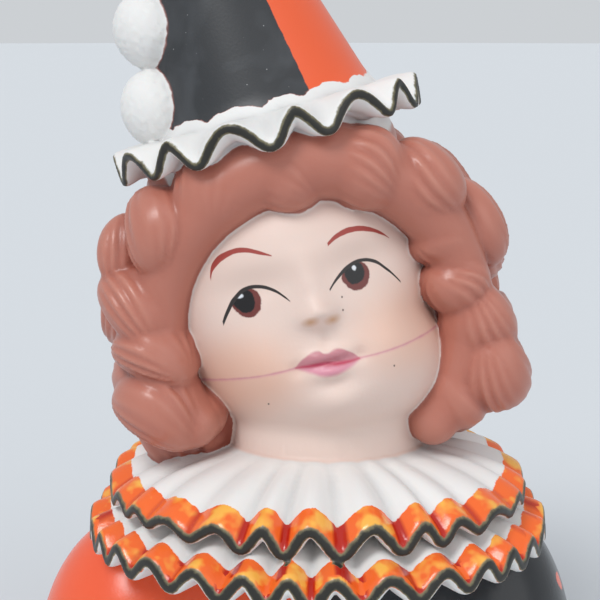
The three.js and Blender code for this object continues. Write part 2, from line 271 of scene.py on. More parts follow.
def frill_place(points, frill):
    """Where points are on a frill: radius, bearing, share of the way out and height over its middle."""
    radius = np.hypot(points[..., 0], points[..., 1])
    bearing = np.arctan2(points[..., 0], -points[..., 1])
    share = np.clip((radius - frill["inner"]) / (frill["rim"] - frill["inner"]), 0.03, 1.15)
    fall = EVEN_FALL * share + (1 - EVEN_FALL) * share ** frill["bend"]
    middle = frill["inner_height"] + (frill["rim_height"] - frill["inner_height"]) * fall
    return radius, bearing, share, points[..., 2] - middle


def over_rim(points, frill, table):
    """How far points are above a frill's top, square to it, and how far outside its rim."""
    radius, bearing, share, rise = frill_place(points, frill)
    waves = share ** frill["fade"]
    stretched = np.clip(rise / waves, -TABLE_RISE, TABLE_RISE)
    above = look_up(table, bearing, stretched) * np.sqrt(waves) + rise - stretched * waves
    return above, radius - frill["rim"]


def frill_form(points, frill, table):
    above, outside = over_rim(points, frill, table)
    thickness = np.minimum(frill["lip"] + frill["thicken"] * np.maximum(-outside, 0), frill["deepest"])
    sheet = -joined(-above, above + thickness, EDGE_ROUND)
    return -joined(-sheet, -outside, EDGE_ROUND * 2)


upper_table, upper_line = rim_table(COLLAR_UPPER)
lower_table, lower_line = rim_table(COLLAR_LOWER)


def upper_tier(points):
    return frill_form(points, COLLAR_UPPER, upper_table)


def lower_tier(points):
    return frill_form(points, COLLAR_LOWER, lower_table)


cast_in(lower_tier, (-23.5, -23.5, 13), (23.5, 23.5, 24.5), 0.4)
cast_in(upper_tier, (-21.5, -21.5, 16.5), (21.5, 21.5, 28.5), 0.3)
gaps["collar"] = lambda points: np.minimum(upper_tier(points), lower_tier(points))

ORANGE_BAND = hex_colour("#EE6A28")
YELLOW_PAINTED_HIGHLIGHT = hex_colour("#F2B24C")
RED_PAINTED_SHADE = hex_colour("#B4200F")
BLACK_LINE = hex_colour("#25241F")
OLIVE_DRY = hex_colour("#7C7557")

collar_gap = add("ShaderNodeAttribute", attribute_name="collar").outputs["Fac"]
band_gap = add("ShaderNodeAttribute", attribute_name="band").outputs["Fac"]
line_gap = add("ShaderNodeAttribute", attribute_name="line").outputs["Fac"]
crest = add("ShaderNodeAttribute", attribute_name="crest").outputs["Fac"]
on_collar = cover_of(collar_gap, 0.1)
band_cover = both(on_collar, cover_of(band_gap, 0.06, 0.7))
patches = add("ShaderNodeTexNoise", {"Vector": place_mm, "Scale": 0.45, "Detail": 2}).outputs[0]
# Painted highlight in yellow on the band's crests, and painted shade in dark red in its dips.
lifted = add("ShaderNodeMath", {0: crest, 1: 0.12, 2: patches}, operation="MULTIPLY_ADD").outputs[0]
yellow_highlight_cover = add("ShaderNodeMapRange", {0: lifted, 1: 0.56, 2: 0.72}).outputs[0]
red_shade_cover = add("ShaderNodeMapRange", {0: crest, 1: -0.25, 2: -0.65}).outputs[0]
coat(band_cover, ORANGE_BAND, 0.2)
coat(both(band_cover, yellow_highlight_cover), YELLOW_PAINTED_HIGHLIGHT, 0.22)
coat(both(band_cover, red_shade_cover), RED_PAINTED_SHADE, 0.25)

# The head: a chubby child's head with a full jaw on a short neck, tilted to its right, small nose and lips
# pressed in the mould. Flesh paint is sponged on thin and stays matt.

HEAD_TILT = dict(centre=(-1.9, 0, 42), yaw=7, roll=-13.5, pitch=-4.3)
SKULL = ((-2.06, 0.4, 41.3), (12.7, 12.1, 13.6))
JAW = ((0.8, -1.1, 35.2), (11.3, 10.9, 7.8))
EGG_BLEND = 16
NECK = dict(radius=9.3, top=36, bottom=14, across=0.7, back=0.4, flare=0.46)
NECK_FILLET = 0.9
FACE_FADE = 4
FACE = dict(
    nose_tip=(0, -1.9, 1.35, 1.2, 1.35),
    nose_bridge=(0, 0.7, 1.3, 2.1, 0.55),
    nostril=(1.2, -2.3, 0.8, 0.7, 0.35),
    upper_lip=(0.95, -5.8, 1.1, 0.6, 0.5),
    lower_lip=(0, -7.35, 1.6, 0.6, 0.6),
    parting=(0, -6.55, 2.2, 0.22, -0.3),
    mouth_corner=(2.9, -6.5, 0.7, 0.7, -0.35),
    lip_hollow=(0, -8.6, 1.8, 0.7, -0.3),
    philtrum=(0, -4.4, 0.45, 0.8, -0.15),
    chin=(0, -10.6, 2.6, 1.9, 0.9),
    cheek=(6.2, -5.2, 3.2, 3.4, 1.1),
    eye_socket=(4.8, 0.9, 2.8, 2.1, -0.6),
    eyeball=(4.8, 0.1, 2.0, 1.3, 0.35),
    forehead=(0, 7.0, 5.0, 3.2, 0.3),
)


def turned(place):
    """The rotation of a piece that is yawed, rolled and pitched, as rows of numbers."""
    a, b, c = (math.radians(place[k]) for k in ("yaw", "roll", "pitch"))
    about_z = np.array([[math.cos(a), -math.sin(a), 0], [math.sin(a), math.cos(a), 0], [0, 0, 1]])
    about_y = np.array([[math.cos(b), 0, math.sin(b)], [0, 1, 0], [-math.sin(b), 0, math.cos(b)]])
    about_x = np.array([[1, 0, 0], [0, math.cos(c), -math.sin(c)], [0, math.sin(c), math.cos(c)]])
    return about_z @ about_y @ about_x


def local(points, place):
    """Points in a piece's own frame: across, back and up from its centre."""
    return (points - np.array(place["centre"])) @ turned(place)


def face_relief(across_mm, up_mm):
    rise = 0
    for x, z, wide, tall, height in FACE.values():
        for side in (-1, 1) if x else (1,):
            rise = rise + height * np.exp(-(((across_mm - side * x) / wide) ** 2) - ((up_mm - z) / tall) ** 2)
    return rise


def shell_distance(direction, shell):
    """How far it is from the middle of the skull to an egg's shell in each direction."""
    offset = (np.array(shell[0]) - np.array(SKULL[0])) / np.array(shell[1])
    step = direction / np.array(shell[1])
    along = (step * offset).sum(-1)
    length = (step * step).sum(-1)
    return (along + np.sqrt(np.maximum(along**2 - length * ((offset**2).sum() - 1), 0))) / length


def head(points):
    place = local(points, HEAD_TILT)
    front = np.clip(-place[..., 1] / FACE_FADE, 0, 1)
    front = front * front * (3 - 2 * front)
    place[..., 1] += face_relief(place[..., 0], place[..., 2]) * front
    out = place @ turned(HEAD_TILT).T + np.array(HEAD_TILT["centre"]) - np.array(SKULL[0])
    size = np.linalg.norm(out, axis=-1) + 1e-6
    direction = out / size[..., None]
    reach = shell_distance(direction, SKULL) ** EGG_BLEND + shell_distance(direction, JAW) ** EGG_BLEND
    return size - reach ** (1 / EGG_BLEND)


def neck(points):
    out = np.hypot(points[..., 0] - NECK["across"], points[..., 1] - NECK["back"])
    down = (NECK["top"] - points[..., 2]) / (NECK["top"] - NECK["bottom"])
    around = out - NECK["radius"] - NECK["flare"] * down
    return np.maximum(around, np.abs(down - 0.5) * 22 - 11)


cast_in(neck, (-11, -11, 13), (12, 12, 37), 0.8)
cast_in(head, (-17, -16, 26), (15, 14, 56), NECK_FILLET)
gaps["head"] = lambda points: np.minimum(head(points), neck(points))

FLESH = hex_colour("#E2CBC0")
FLESH_PAINTED_SHADE = hex_colour("#C4A398")
PEACH = hex_colour("#E2A98B")

head_gap = add("ShaderNodeAttribute", attribute_name="head").outputs["Fac"]
flesh_cover = cover_of(head_gap, 0.5, 0.3)
coat(flesh_cover, FLESH, 0.5)
# Painted shade: the flesh darkens in the hollows of the face and neck.
coat(both(flesh_cover, add("ShaderNodeMapRange", {0: hollow, 1: 0.05, 2: 0.6, 4: 0.6}).outputs[0]), FLESH_PAINTED_SHADE, 0.5)

# The face: painted by hand in china paint, with single strokes of a liner brush. Places are in mm across
# and up from the middle of the head.

tilt_angles = tuple(math.radians(HEAD_TILT[k]) for k in ("pitch", "roll", "yaw"))
tilt_centre = tuple(c * MM for c in HEAD_TILT["centre"])
on_head = {"Vector": object_place, "Location": tilt_centre, "Rotation": tilt_angles, "Scale": (MM, MM, MM)}
on_head = add("ShaderNodeMapping", on_head, vector_type="TEXTURE").outputs[0]
apart = add("ShaderNodeSeparateXYZ", {0: on_head})
face_across, face_back, face_up = apart.outputs
face_flat = add("ShaderNodeCombineXYZ", {0: face_across, 1: face_up}).outputs[0]
in_front = add("ShaderNodeMapRange", {0: face_back, 1: -3.0, 2: -4.0}).outputs[0]
face_cover = both(flesh_cover, in_front)


def curve_at(along, places, low, high):
    """Reads a smooth line through places of (along, value), from low to high, at each point."""
    start, end = places[0][0], places[-1][0]
    share = add("ShaderNodeMapRange", {0: along, 1: start, 2: end}).outputs[0]
    line = add("ShaderNodeFloatCurve", {1: share})
    knots = line.mapping.curves[0].points
    while len(knots) < len(places):
        knots.new(0.5, 0.5)
    for knot, (at, value) in zip(knots, sorted(places)):
        knot.location = ((at - start) / (end - start), (value - low) / (high - low))
    line.mapping.update()
    return add("ShaderNodeMapRange", {0: line.outputs[0], 3: low, 4: high}).outputs[0]


def stroke(places, thickness):
    """The gap in mm to a brush stroke through places of (across, up). Thickness gives its half widths."""
    ups = [up for _, up in places]
    line = curve_at(face_across, places, min(ups) - 1, max(ups) + 1)
    half = curve_at(face_across, [(at, t) for (at, _), t in zip(places, thickness)], 0, 1)
    off = add("ShaderNodeMath", {0: face_up, 1: line}, operation="SUBTRACT").outputs[0]
    off = add("ShaderNodeMath", {0: off}, operation="ABSOLUTE").outputs[0]
    gap = add("ShaderNodeMath", {0: off, 1: half}, operation="SUBTRACT").outputs[0]
    middle, reach = (places[0][0] + places[-1][0]) / 2, (places[-1][0] - places[0][0]) / 2
    aside = add("ShaderNodeMath", {0: face_across, 1: middle}, operation="SUBTRACT").outputs[0]
    aside = add("ShaderNodeMath", {0: aside}, operation="ABSOLUTE").outputs[0]
    past = add("ShaderNodeMath", {0: aside, 1: reach}, operation="SUBTRACT").outputs[0]
    return add("ShaderNodeMath", {0: gap, 1: past}, operation="MAXIMUM").outputs[0], line


def spot(place, radii):
    """The gap in mm to an oval spot on the face."""
    shrink = {0: face_flat, 1: (place[0], place[1], 0)}
    shrink = add("ShaderNodeVectorMath", shrink, operation="SUBTRACT").outputs[0]
    shrink = {0: shrink, 1: (1 / radii[0], 1 / radii[1], 1)}
    shrink = add("ShaderNodeVectorMath", shrink, operation="MULTIPLY").outputs[0]
    size = add("ShaderNodeVectorMath", {0: shrink}, operation="LENGTH").outputs["Value"]
    return add("ShaderNodeMath", {0: size, 1: min(radii), 2: -min(radii)}, operation="MULTIPLY_ADD").outputs[0]


for place, radii, cover in (((-7.6, -6.4), (4.4, 3.6), 0.55), ((7.9, -5.6), (4.6, 3.6), 0.45)):
    blush = add("ShaderNodeMapRange", {0: spot(place, radii), 1: 2.4, 2: -2.4, 4: cover})
    blush.interpolation_type = "SMOOTHSTEP"
    coat(both(face_cover, blush.outputs[0]), PEACH, 0.5)

# Painted shade in the eye sockets, between the lashes and the brows.
SOCKET_PAINTED_SHADE = hex_colour("#BFA79C")
for place, radii in (((-4.6, 2.4), (3.2, 0.9)), ((4.9, 2.3), (3.2, 0.9))):
    lid = add("ShaderNodeMapRange", {0: spot(place, radii), 1: 1.2, 2: -0.8, 4: 0.35})
    lid.interpolation_type = "SMOOTHSTEP"
    coat(both(face_cover, lid.outputs[0]), SOCKET_PAINTED_SHADE, 0.5)

BROW = hex_colour("#9E4038")
BROWS = (
    ([(-8.24, 2.91), (-7.51, 4.16), (-6.2, 4.78), (-4.95, 4.84), (-3.51, 4.26), (-2.61, 3.8)],
     [0.16, 0.3, 0.24, 0.22, 0.16, 0.04]),
    ([(2.44, 3.54), (3.78, 4.12), (5.17, 4.19), (6.46, 3.82), (7.59, 3.13), (8.24, 2.47)],
     [0.14, 0.22, 0.24, 0.22, 0.14, 0.04]),
)
for places, thickness in BROWS:
    brow, _ = stroke(places, thickness)
    coat(both(face_cover, cover_of(brow, 0.05, 0.12)), BROW, 0.4)

LASH = hex_colour("#2A2423")
EYE_WHITE = hex_colour("#E8DAD3")
IRIS_RIM = hex_colour("#6E3430")
PUPIL = hex_colour("#161416")
# The gloss spot on each eye is a painted highlight: a pale fleck near the top of the pupil.
EYE_PAINTED_HIGHLIGHT = hex_colour("#D9DDE2")
EYES = (
    dict(
        lash=[(-8.18, -1.19), (-7.47, -0.14), (-6.61, 0.81), (-5.46, 1.45),
              (-4.32, 1.39), (-3.23, 0.85), (-2.45, 0.09), (-2.05, -0.44)],
        thick=[0.2, 0.26, 0.22, 0.18, 0.17, 0.16, 0.12, 0.06],
        iris=((-5.7, 0.3), (1.3, 1.36)), pupil=((-5.9, 0.45), (0.95, 1.05)), gloss=((-6.15, 0.95), (0.3, 0.2)),
    ),
    dict(
        lash=[(1.59, -0.33), (2.73, 0.6), (3.82, 1.17), (4.84, 1.38), (6.12, 1.02), (7.1, 0.09), (8.26, -1.57)],
        thick=[0.08, 0.16, 0.18, 0.16, 0.17, 0.17, 0.1],
        iris=((4.25, 0.25), (1.3, 1.3)), pupil=((4.2, 0.55), (0.95, 1.0)), gloss=((4.26, 0.94), (0.18, 0.22)),
    ),
)
for eye in EYES:
    lash, line = stroke(eye["lash"], eye["thick"])
    under_lash = add("ShaderNodeMath", {0: face_up, 1: line}, operation="SUBTRACT").outputs[0]
    opening = both(face_cover, cover_of(under_lash, 0.08))
    for name, colour, roughness, shake in (
        ("iris", IRIS_RIM, 0.25, 0.5), ("pupil", PUPIL, 0.15, 0.5), ("gloss", EYE_PAINTED_HIGHLIGHT, 0.15, 0.3),
    ):
        coat(both(opening, cover_of(spot(*eye[name]), 0.07, shake)), colour, roughness)
    coat(both(face_cover, cover_of(lash, 0.05, 0.08)), LASH, 0.35)

LIP_UPPER = hex_colour("#C08088")
LIP_LOWER = hex_colour("#D590A0")
LIP_PARTING = hex_colour("#B8405A")
lip_top = curve_at(
    face_across,
    [(-3.0, -6.3), (-1.99, -5.56), (-0.79, -5.27), (-0.22, -5.63), (0.96, -5.49), (1.82, -5.93), (2.7, -6.85)],
    -8, -4,
)
parting_places = [(-3.0, -6.35), (-1.76, -6.44), (-0.45, -6.56), (1.12, -6.83), (2.7, -6.87)]
parting_gap, lip_parting = stroke(parting_places, [0.05, 0.16, 0.18, 0.16, 0.05])
lip_bottom = curve_at(
    face_across, [(-3.0, -6.4), (-1.9, -7.01), (-0.46, -7.65), (1.12, -7.56), (2.7, -6.9)], -9, -5
)
for top, bottom, colour, soft in (
    (lip_top, lip_parting, LIP_UPPER, 0.14), (lip_parting, lip_bottom, LIP_LOWER, 0.25),
):
    over = add("ShaderNodeMath", {0: face_up, 1: top}, operation="SUBTRACT").outputs[0]
    under = add("ShaderNodeMath", {0: bottom, 1: face_up}, operation="SUBTRACT").outputs[0]
    between = add("ShaderNodeMath", {0: over, 1: under}, operation="MAXIMUM").outputs[0]
    coat(both(face_cover, cover_of(between, soft, 0.15)), colour, 0.42)
coat(both(face_cover, cover_of(parting_gap, 0.16)), LIP_PARTING, 0.4)

OCHRE = hex_colour("#C99A72")
SPECK = hex_colour("#4A3A34")
for place in ((-0.8, -2.57), (1.17, -2.89)):
    nostril = add("ShaderNodeMapRange", {0: spot(place, (0.42, 0.26)), 1: 0.3, 2: -0.2, 4: 0.8})
    coat(both(face_cover, nostril.outputs[0]), OCHRE, 0.5)
for place in ((2.51, -1.23), (2.31, -2.36), (-6.0, -9.2), (5.6, -8.4)):
    coat(both(face_cover, cover_of(spot(place, (0.07, 0.09)), 0.05)), SPECK, 0.5)

# The wig: moulded locks of a dark red clay slip, satin where the paint lies thick. A roll of short locks
# frames the face, combed down over it, and wreaths of curls lie behind.

HAIR = dict(centre=(-1, 2.5, 38.5), yaw=5, roll=-5, pitch=0)
MASS_RADII = (16.9, 15.4, 17.6)
HAIR_EDGE = dict(look=56, fade=9, inner=9, start=128, below=48)
LOCK_FILLET = 0.35
COMB_DEPTH = 0.3
COMB_PITCH = 1.35
WREATHS = (
    (5, -34, -131, 80, -35), (5, 22, 122, 80, 35), (11, -150, 150, 107, 40),
    (10, -162, 162, 132, -40), (6, -150, 150, 157, 30), (1, 180, 180, 180, 0),
)
CURL = dict(half_length=5.4, half_width=3.9, height=3.1, hook=0.9, uneven_angle=4, uneven_look=2)


def smooth_step(start, end, value):
    share = np.clip((value - start) / (end - start), 0, 1)
    return share * share * (3 - 2 * share)


def uneven(count, kind):
    """The same small uneven number, from -1 to 1, each time for the same count."""
    long = math.sin(count * 12.9898 + kind * 78.233) * 43758.5453
    return 2 * (long - math.floor(long)) - 1


def towards(look, bearing):
    return np.array([math.sin(look) * math.sin(bearing), -math.cos(look), math.sin(look) * math.cos(bearing)])


def mass(points):
    place = local(points, HAIR)
    size = np.linalg.norm(place, axis=-1) + 1e-6
    way = place / size[..., None]
    look = np.degrees(np.arccos(np.clip(-way[..., 1], -1, 1)))
    bearing = np.abs(np.degrees(np.arctan2(way[..., 0], way[..., 2])))
    reach = 1 / np.linalg.norm(way / np.array(MASS_RADII), axis=-1)
    edge = HAIR_EDGE["look"] + HAIR_EDGE["below"] * smooth_step(HAIR_EDGE["start"], 180, bearing)
    behind = smooth_step(edge, edge + HAIR_EDGE["fade"], look)
    return (size - HAIR_EDGE["inner"] - (reach - HAIR_EDGE["inner"]) * behind) * 0.8


locks = []
for count, start, end, look_angle, slant in WREATHS:
    for index in range(count):
        share = index / (count - 1) if count > 1 else 0
        bearing = start + (end - start) * share + CURL["uneven_angle"] * uneven(index, look_angle)
        bearing = math.radians(bearing)
        look = math.radians(look_angle + CURL["uneven_look"] * uneven(index, end))
        out = towards(look, bearing)
        ring = np.array([math.cos(bearing), 0, -math.sin(bearing)])
        sign = 1 if index % 2 else -1
        turn = math.radians(slant * (1 + 0.3 * sign))
        along = ring * math.cos(turn) + np.cross(out, ring) * math.sin(turn)
        reach = 1 / np.linalg.norm(out / np.array(MASS_RADII))
        sizes = (CURL["half_length"], CURL["half_width"], CURL["height"] + 0.4 * uneven(index, start))
        locks.append(dict(centre=out * reach, along=along, out=out, sizes=sizes, hook=sign * CURL["hook"]))

# The front locks: middle (across, back, up), comb angle from straight down to the figure's left, half sizes
# along the comb, across it and outwards, and how much it hooks.
FRONT_LOCKS = (
    ((-7.5, -9.4, 13.3), 8, (3.7, 4.6, 3.8), 0.2),
    ((-1.0, -10.4, 14.8), 38, (3.5, 4.3, 3.7), 0.15),
    ((5.4, -10.4, 14.5), 45, (3.9, 3.9, 3.8), 0.15),
    ((10.5, -9.2, 12.3), 32, (4.3, 3.6, 3.9), -0.2),
    ((-12.6, -8.4, 10.3), 15, (4.4, 3.8, 4.0), 0.3),
    ((-16.6, -5.5, 8.3), 10, (3.6, 2.3, 2.8), 0.0),
    ((-15.6, -7.4, 3.7), 50, (4.6, 3.3, 3.7), 0.3),
    ((-14.6, -8.0, -0.4), 75, (4.3, 3.1, 3.9), 0.4),
    ((-14.7, -8.0, -5.6), 70, (4.7, 3.7, 4.1), 0.4),
    ((-11.2, -7.0, -7.0), 40, (2.8, 2.3, 3.0), 0.2),
    ((15.2, -6.0, 7.7), 25, (4.7, 3.1, 3.4), -0.2),
    ((11.9, -8.4, 6.8), 85, (2.7, 2.3, 3.2), 0.2),
    ((13.2, -8.2, 2.8), 60, (3.2, 3.1, 3.5), 0.2),
    ((15.0, -7.8, -1.2), 45, (4.1, 3.3, 3.8), -0.3),
    ((15.8, -7.6, -6.0), 42, (4.8, 3.9, 4.1), -0.3),
    ((12.4, -7.6, -8.2), 50, (3.4, 2.8, 3.4), -0.2),
)
OUTWARD = np.array([1, 2.2, 1])
for middle, comb, sizes, hook in FRONT_LOCKS:
    out = np.array(middle) * OUTWARD
    out = out / np.linalg.norm(out)
    comb = math.radians(comb)
    down = np.array([math.sin(comb), 0, -math.cos(comb)])
    along = down - out * (down @ out)
    along = along / np.linalg.norm(along)
    locks.append(dict(centre=np.array(middle), along=along, out=out, sizes=sizes, hook=hook))

ROLL = dict(reach=14.2, lift=1.3, depth=-8, fringe_depth=-2.6, middle=5.5, ends=128, thick=2.5, fringe=0.9)


def roll(points):
    """The smooth roll under the front locks, from jaw to jaw over the forehead."""
    place = local(points, HAIR)
    bearing = np.degrees(np.arctan2(place[..., 0], place[..., 2]))
    fringe = np.clip(np.cos(np.radians(bearing)), 0, 1) ** 2
    aside = np.hypot(place[..., 0], place[..., 2]) - ROLL["reach"] - ROLL["lift"] * fringe
    behind = place[..., 1] - ROLL["depth"] - ROLL["fringe_depth"] * fringe
    past = np.maximum(np.abs(bearing - ROLL["middle"]) - ROLL["ends"], 0) * math.radians(ROLL["reach"])
    thick = ROLL["thick"] + ROLL["fringe"] * fringe
    return np.sqrt(aside**2 + behind**2 + past**2) - thick


def lock_form(points, lock, kind):
    """One lock: an egg bent like a comma, with comb lines that run from end to end of it."""
    place = local(points, HAIR) - lock["centre"]
    length, width, height = lock["sizes"]
    a = place @ lock["along"] / length
    b = place @ np.cross(lock["out"], lock["along"]) / width + lock["hook"] * a * a
    h = place @ lock["out"] / height
    size = np.sqrt(a * a + b * b + h * h) + 1e-6
    steep = np.sqrt((a / length) ** 2 + (b / width) ** 2 + (h / height) ** 2) + 1e-6
    turn = np.arctan2(b, h)
    lines = 2 * math.pi * (width + height) / 2 / COMB_PITCH
    wander = 1.6 * np.sin(2.3 * turn + kind) + 2.2 * a * uneven(kind, 3) + 0.8 * np.sin(2.6 * a + 2 * kind)
    comb = 0.5 - 0.5 * np.cos(lines * turn + wander)
    comb = comb * (0.55 + 0.45 * np.sin(2.9 * turn + 1.3 * kind + a))
    return size * (size - 1) / steep + COMB_DEPTH * comb * np.sqrt(np.clip(1 - a * a, 0, 1))


cast_in(mass, (-21, -16, 18), (20, 21, 60), 0.6)
cast_in(roll, (-23, -14, 20), (21, 4, 60), 0.5)
hair_turn = turned(HAIR)
for kind, lock in enumerate(locks):
    middle = hair_turn @ lock["centre"] + np.array(HAIR["centre"])
    span = max(lock["sizes"]) * 1.35 + 1
    cast_in(lambda points: lock_form(points, lock, kind), middle - span, middle + span, LOCK_FILLET)


def hair(points):
    nearest_lock = np.minimum(mass(points), roll(points))
    for kind, lock in enumerate(locks):
        middle = hair_turn @ lock["centre"] + np.array(HAIR["centre"])
        near = np.linalg.norm(points - middle, axis=-1) < max(lock["sizes"]) * 1.7
        nearest_lock[near] = np.minimum(nearest_lock[near], lock_form(points[near], lock, kind))
    return nearest_lock


gaps["hair"] = hair

HAIR_BROWN = hex_colour("#B4705F")
HAIR_PAINTED_SHADE = hex_colour("#8A4537")
HAIR_PAINTED_HIGHLIGHT = hex_colour("#C98F7E")
hair_gap = add("ShaderNodeAttribute", attribute_name="hair").outputs["Fac"]
hair_cover = cover_of(hair_gap, 0.12, 0.25)
coat(hair_cover, HAIR_BROWN, 0.34)
# Painted shade in the hair's hollows, and a painted highlight on its ridges.
deep = add("ShaderNodeMapRange", {0: hollow, 1: 0.0, 2: 0.35, 4: 0.9}).outputs[0]
coat(both(hair_cover, deep), HAIR_PAINTED_SHADE, 0.4)
light = add("ShaderNodeMapRange", {0: hollow, 1: -0.02, 2: -0.25, 4: 0.55}).outputs[0]
coat(both(hair_cover, light), HAIR_PAINTED_HIGHLIGHT, 0.32)

# The hat: a tall cone that leans to the figure's right, painted half satin black and half orange, with a
# white frill round its foot that has a black line on its rim.

HAT = dict(centre=(-4.7, 1.3, 56.1), yaw=7, roll=-14.8, pitch=-4.3)
CONE = dict(base=11.2, flare=1.2, flare_height=1.8, tip=1.3, height=38, shear=-2.4, foot=-6)
HAT_FRILL = dict(
    waves=15, start=-6.5, drift=1.7, drift_cycles=7.5, drift_from=0, swing=1.5, swell=0.05,
    rim=14.8, rim_height=0.2, inner=11.2, inner_height=1.6, lip=0.75, thicken=0.9, deepest=3.2, fade=1,
    bend=1.6,
)


def cone(points):
    place = local(points, HAT)
    up = place[..., 2]
    out = np.hypot(place[..., 0] - CONE["shear"] * np.maximum(up, 0) / CONE["height"], place[..., 1])
    wall = CONE["base"] + (CONE["tip"] - CONE["base"]) * up / CONE["height"]
    wall = wall + CONE["flare"] * np.clip(1 - up / (2 * CONE["flare_height"]), 0, 1) ** 2
    return np.maximum(np.maximum(out - np.minimum(wall, CONE["base"]), up - CONE["height"]), CONE["foot"] - up)


hat_table, hat_line = rim_table(HAT_FRILL)


def hat_frill(points):
    return frill_form(local(points, HAT), HAT_FRILL, hat_table)


cast_in(cone, (-22, -14, 47), (11, 16, 95), 0.6)
cast_in(hat_frill, (-21, -17, 48), (12, 19, 66), 0.35)
gaps["hat"] = lambda points: np.minimum(cone(points), hat_frill(points))

HAT_BLACK = hex_colour("#2E3033")
HAT_ORANGE = hex_colour("#E85F33")
PATCH_GREY = hex_colour("#4C4F53")
COLOURS_MEET = 21
LOWER_EDGE = dict(height=2.55, swing=0.45)

hat_angles = tuple(math.radians(HAT[k]) for k in ("pitch", "roll", "yaw"))
hat_centre = tuple(c * MM for c in HAT["centre"])
on_hat = {"Vector": object_place, "Location": hat_centre, "Rotation": hat_angles, "Scale": (MM, MM, MM)}
on_hat = add("ShaderNodeMapping", on_hat, vector_type="TEXTURE").outputs[0]
hat_across, hat_back, hat_up = add("ShaderNodeSeparateXYZ", {0: on_hat}).outputs
lean = CONE["shear"] / CONE["height"]
upright = add("ShaderNodeMath", {0: hat_up, 1: -lean, 2: hat_across}, operation="MULTIPLY_ADD").outputs[0]
forward = add("ShaderNodeMath", {0: hat_back, 1: -1.0}, operation="MULTIPLY").outputs[0]
hat_bearing = add("ShaderNodeMath", {0: upright, 1: forward}, operation="ARCTAN2").outputs[0]
hat_gap = add("ShaderNodeAttribute", attribute_name="cone").outputs["Fac"]
edge_gap = {0: crest, 1: LOWER_EDGE["swing"], 2: LOWER_EDGE["height"]}
edge_gap = add("ShaderNodeMath", edge_gap, operation="MULTIPLY_ADD").outputs[0]
edge_gap = add("ShaderNodeMath", {0: edge_gap, 1: hat_up}, operation="SUBTRACT").outputs[0]
cone_cover = both(cover_of(hat_gap, 0.3), cover_of(edge_gap, 0.07, 0.4))
meet = add("ShaderNodeMath", {0: hat_bearing, 1: math.radians(COLOURS_MEET)}, operation="SUBTRACT").outputs[0]
meet = add("ShaderNodeMath", {0: meet, 1: CONE["base"]}, operation="MULTIPLY").outputs[0]
coat(cone_cover, HAT_ORANGE, 0.35)
black_cover = both(cone_cover, cover_of(meet, 0.07, 0.4))
coat(black_cover, HAT_BLACK, 0.4)
# Grey patches at random over the black paint.
grey_patch_noise = {"Vector": on_hat, "Scale": 0.22, "Detail": 2, "Distortion": 0.8}
grey_patch_noise = add("ShaderNodeTexNoise", grey_patch_noise).outputs[0]
grey_patch_cover = add("ShaderNodeMapRange", {0: grey_patch_noise, 1: 0.5, 2: 0.75, 4: 0.5}).outputs[0]
coat(both(black_cover, grey_patch_cover), PATCH_GREY, 0.42)
dust = add("ShaderNodeTexVoronoi", {"Vector": on_hat, "Scale": 1.1}).outputs["Distance"]
dust_cover = add("ShaderNodeMapRange", {0: dust, 1: 0.07, 2: 0.03, 4: 0.7}).outputs[0]
coat(both(black_cover, dust_cover), BISQUE_SHADE_AND_DUST_GREY, 0.6)

# The rim line of all three frills: one long stroke of black along the edge, dry and olive at its borders.

line_cover = cover_of(line_gap, 0.05, 0.25)
coat(line_cover, OLIVE_DRY, 0.45)
inner_line = add("ShaderNodeMath", {0: line_gap, 1: 0.1}, operation="ADD").outputs[0]
coat(cover_of(inner_line, 0.12, 0.5), BLACK_LINE, 0.4)

# The pompoms: balls of rough clay crumbs, pressed on in a row up the side of the hat and one on its tip.

POMPOMS = dict(heights=(4.6, 11.6, 18.6, 25.2, 31.2), radii=(3.2, 3.2, 2.95, 2.65, 2.35), tip=2.85, bearing=70)
CRUMB_SIZE = 0.9
CRUMB_HEIGHT = 0.12


def crumbs(points):
    """Uneven bumps like small crumbs."""
    pitch = 2 * math.pi / CRUMB_SIZE
    x, y, z = (points[..., i] * pitch for i in range(3))
    first = np.sin(x * 0.9 + 1.6 * np.sin(z * 0.6)) * np.sin(y * 0.8 - z * 0.5 + 1.2 * np.sin(x * 0.45))
    second = np.sin(z * 0.95 + 1.4 * np.sin(y * 0.7)) * np.sin(x * 0.6 + y * 0.5)
    return (first + second) / 2


pompoms = []
side = math.radians(POMPOMS["bearing"])
for height, radius in zip(POMPOMS["heights"], POMPOMS["radii"]):
    out = CONE["base"] + (CONE["tip"] - CONE["base"]) * height / CONE["height"]
    lean_at = CONE["shear"] * height / CONE["height"]
    pompoms.append(((lean_at - out * math.sin(side), -out * math.cos(side), height), radius))
pompoms.append(((CONE["shear"], 0, CONE["height"]), POMPOMS["tip"]))


def pompom_row(points):
    place = local(points, HAT)
    balls = np.full(place.shape[:-1], 9.0)
    for centre, radius in pompoms:
        balls = joined(balls, egg(place, centre, (radius, radius, radius * 1.13)), 0.4)
    return balls - CRUMB_HEIGHT * crumbs(place)


cast_in(pompom_row, (-23, -9, 52), (-6, 6, 96), 0.3)
gaps["pompoms"] = pompom_row

pompom_gap = add("ShaderNodeAttribute", attribute_name="pompoms").outputs["Fac"]
pompom_cover = cover_of(pompom_gap, 0.1, 0.3)
coat(pompom_cover, hex_colour("#E2E1DF"), 0.8)

# The casting: every form in one piece, cut off flat below, with the paint's places written on its points.

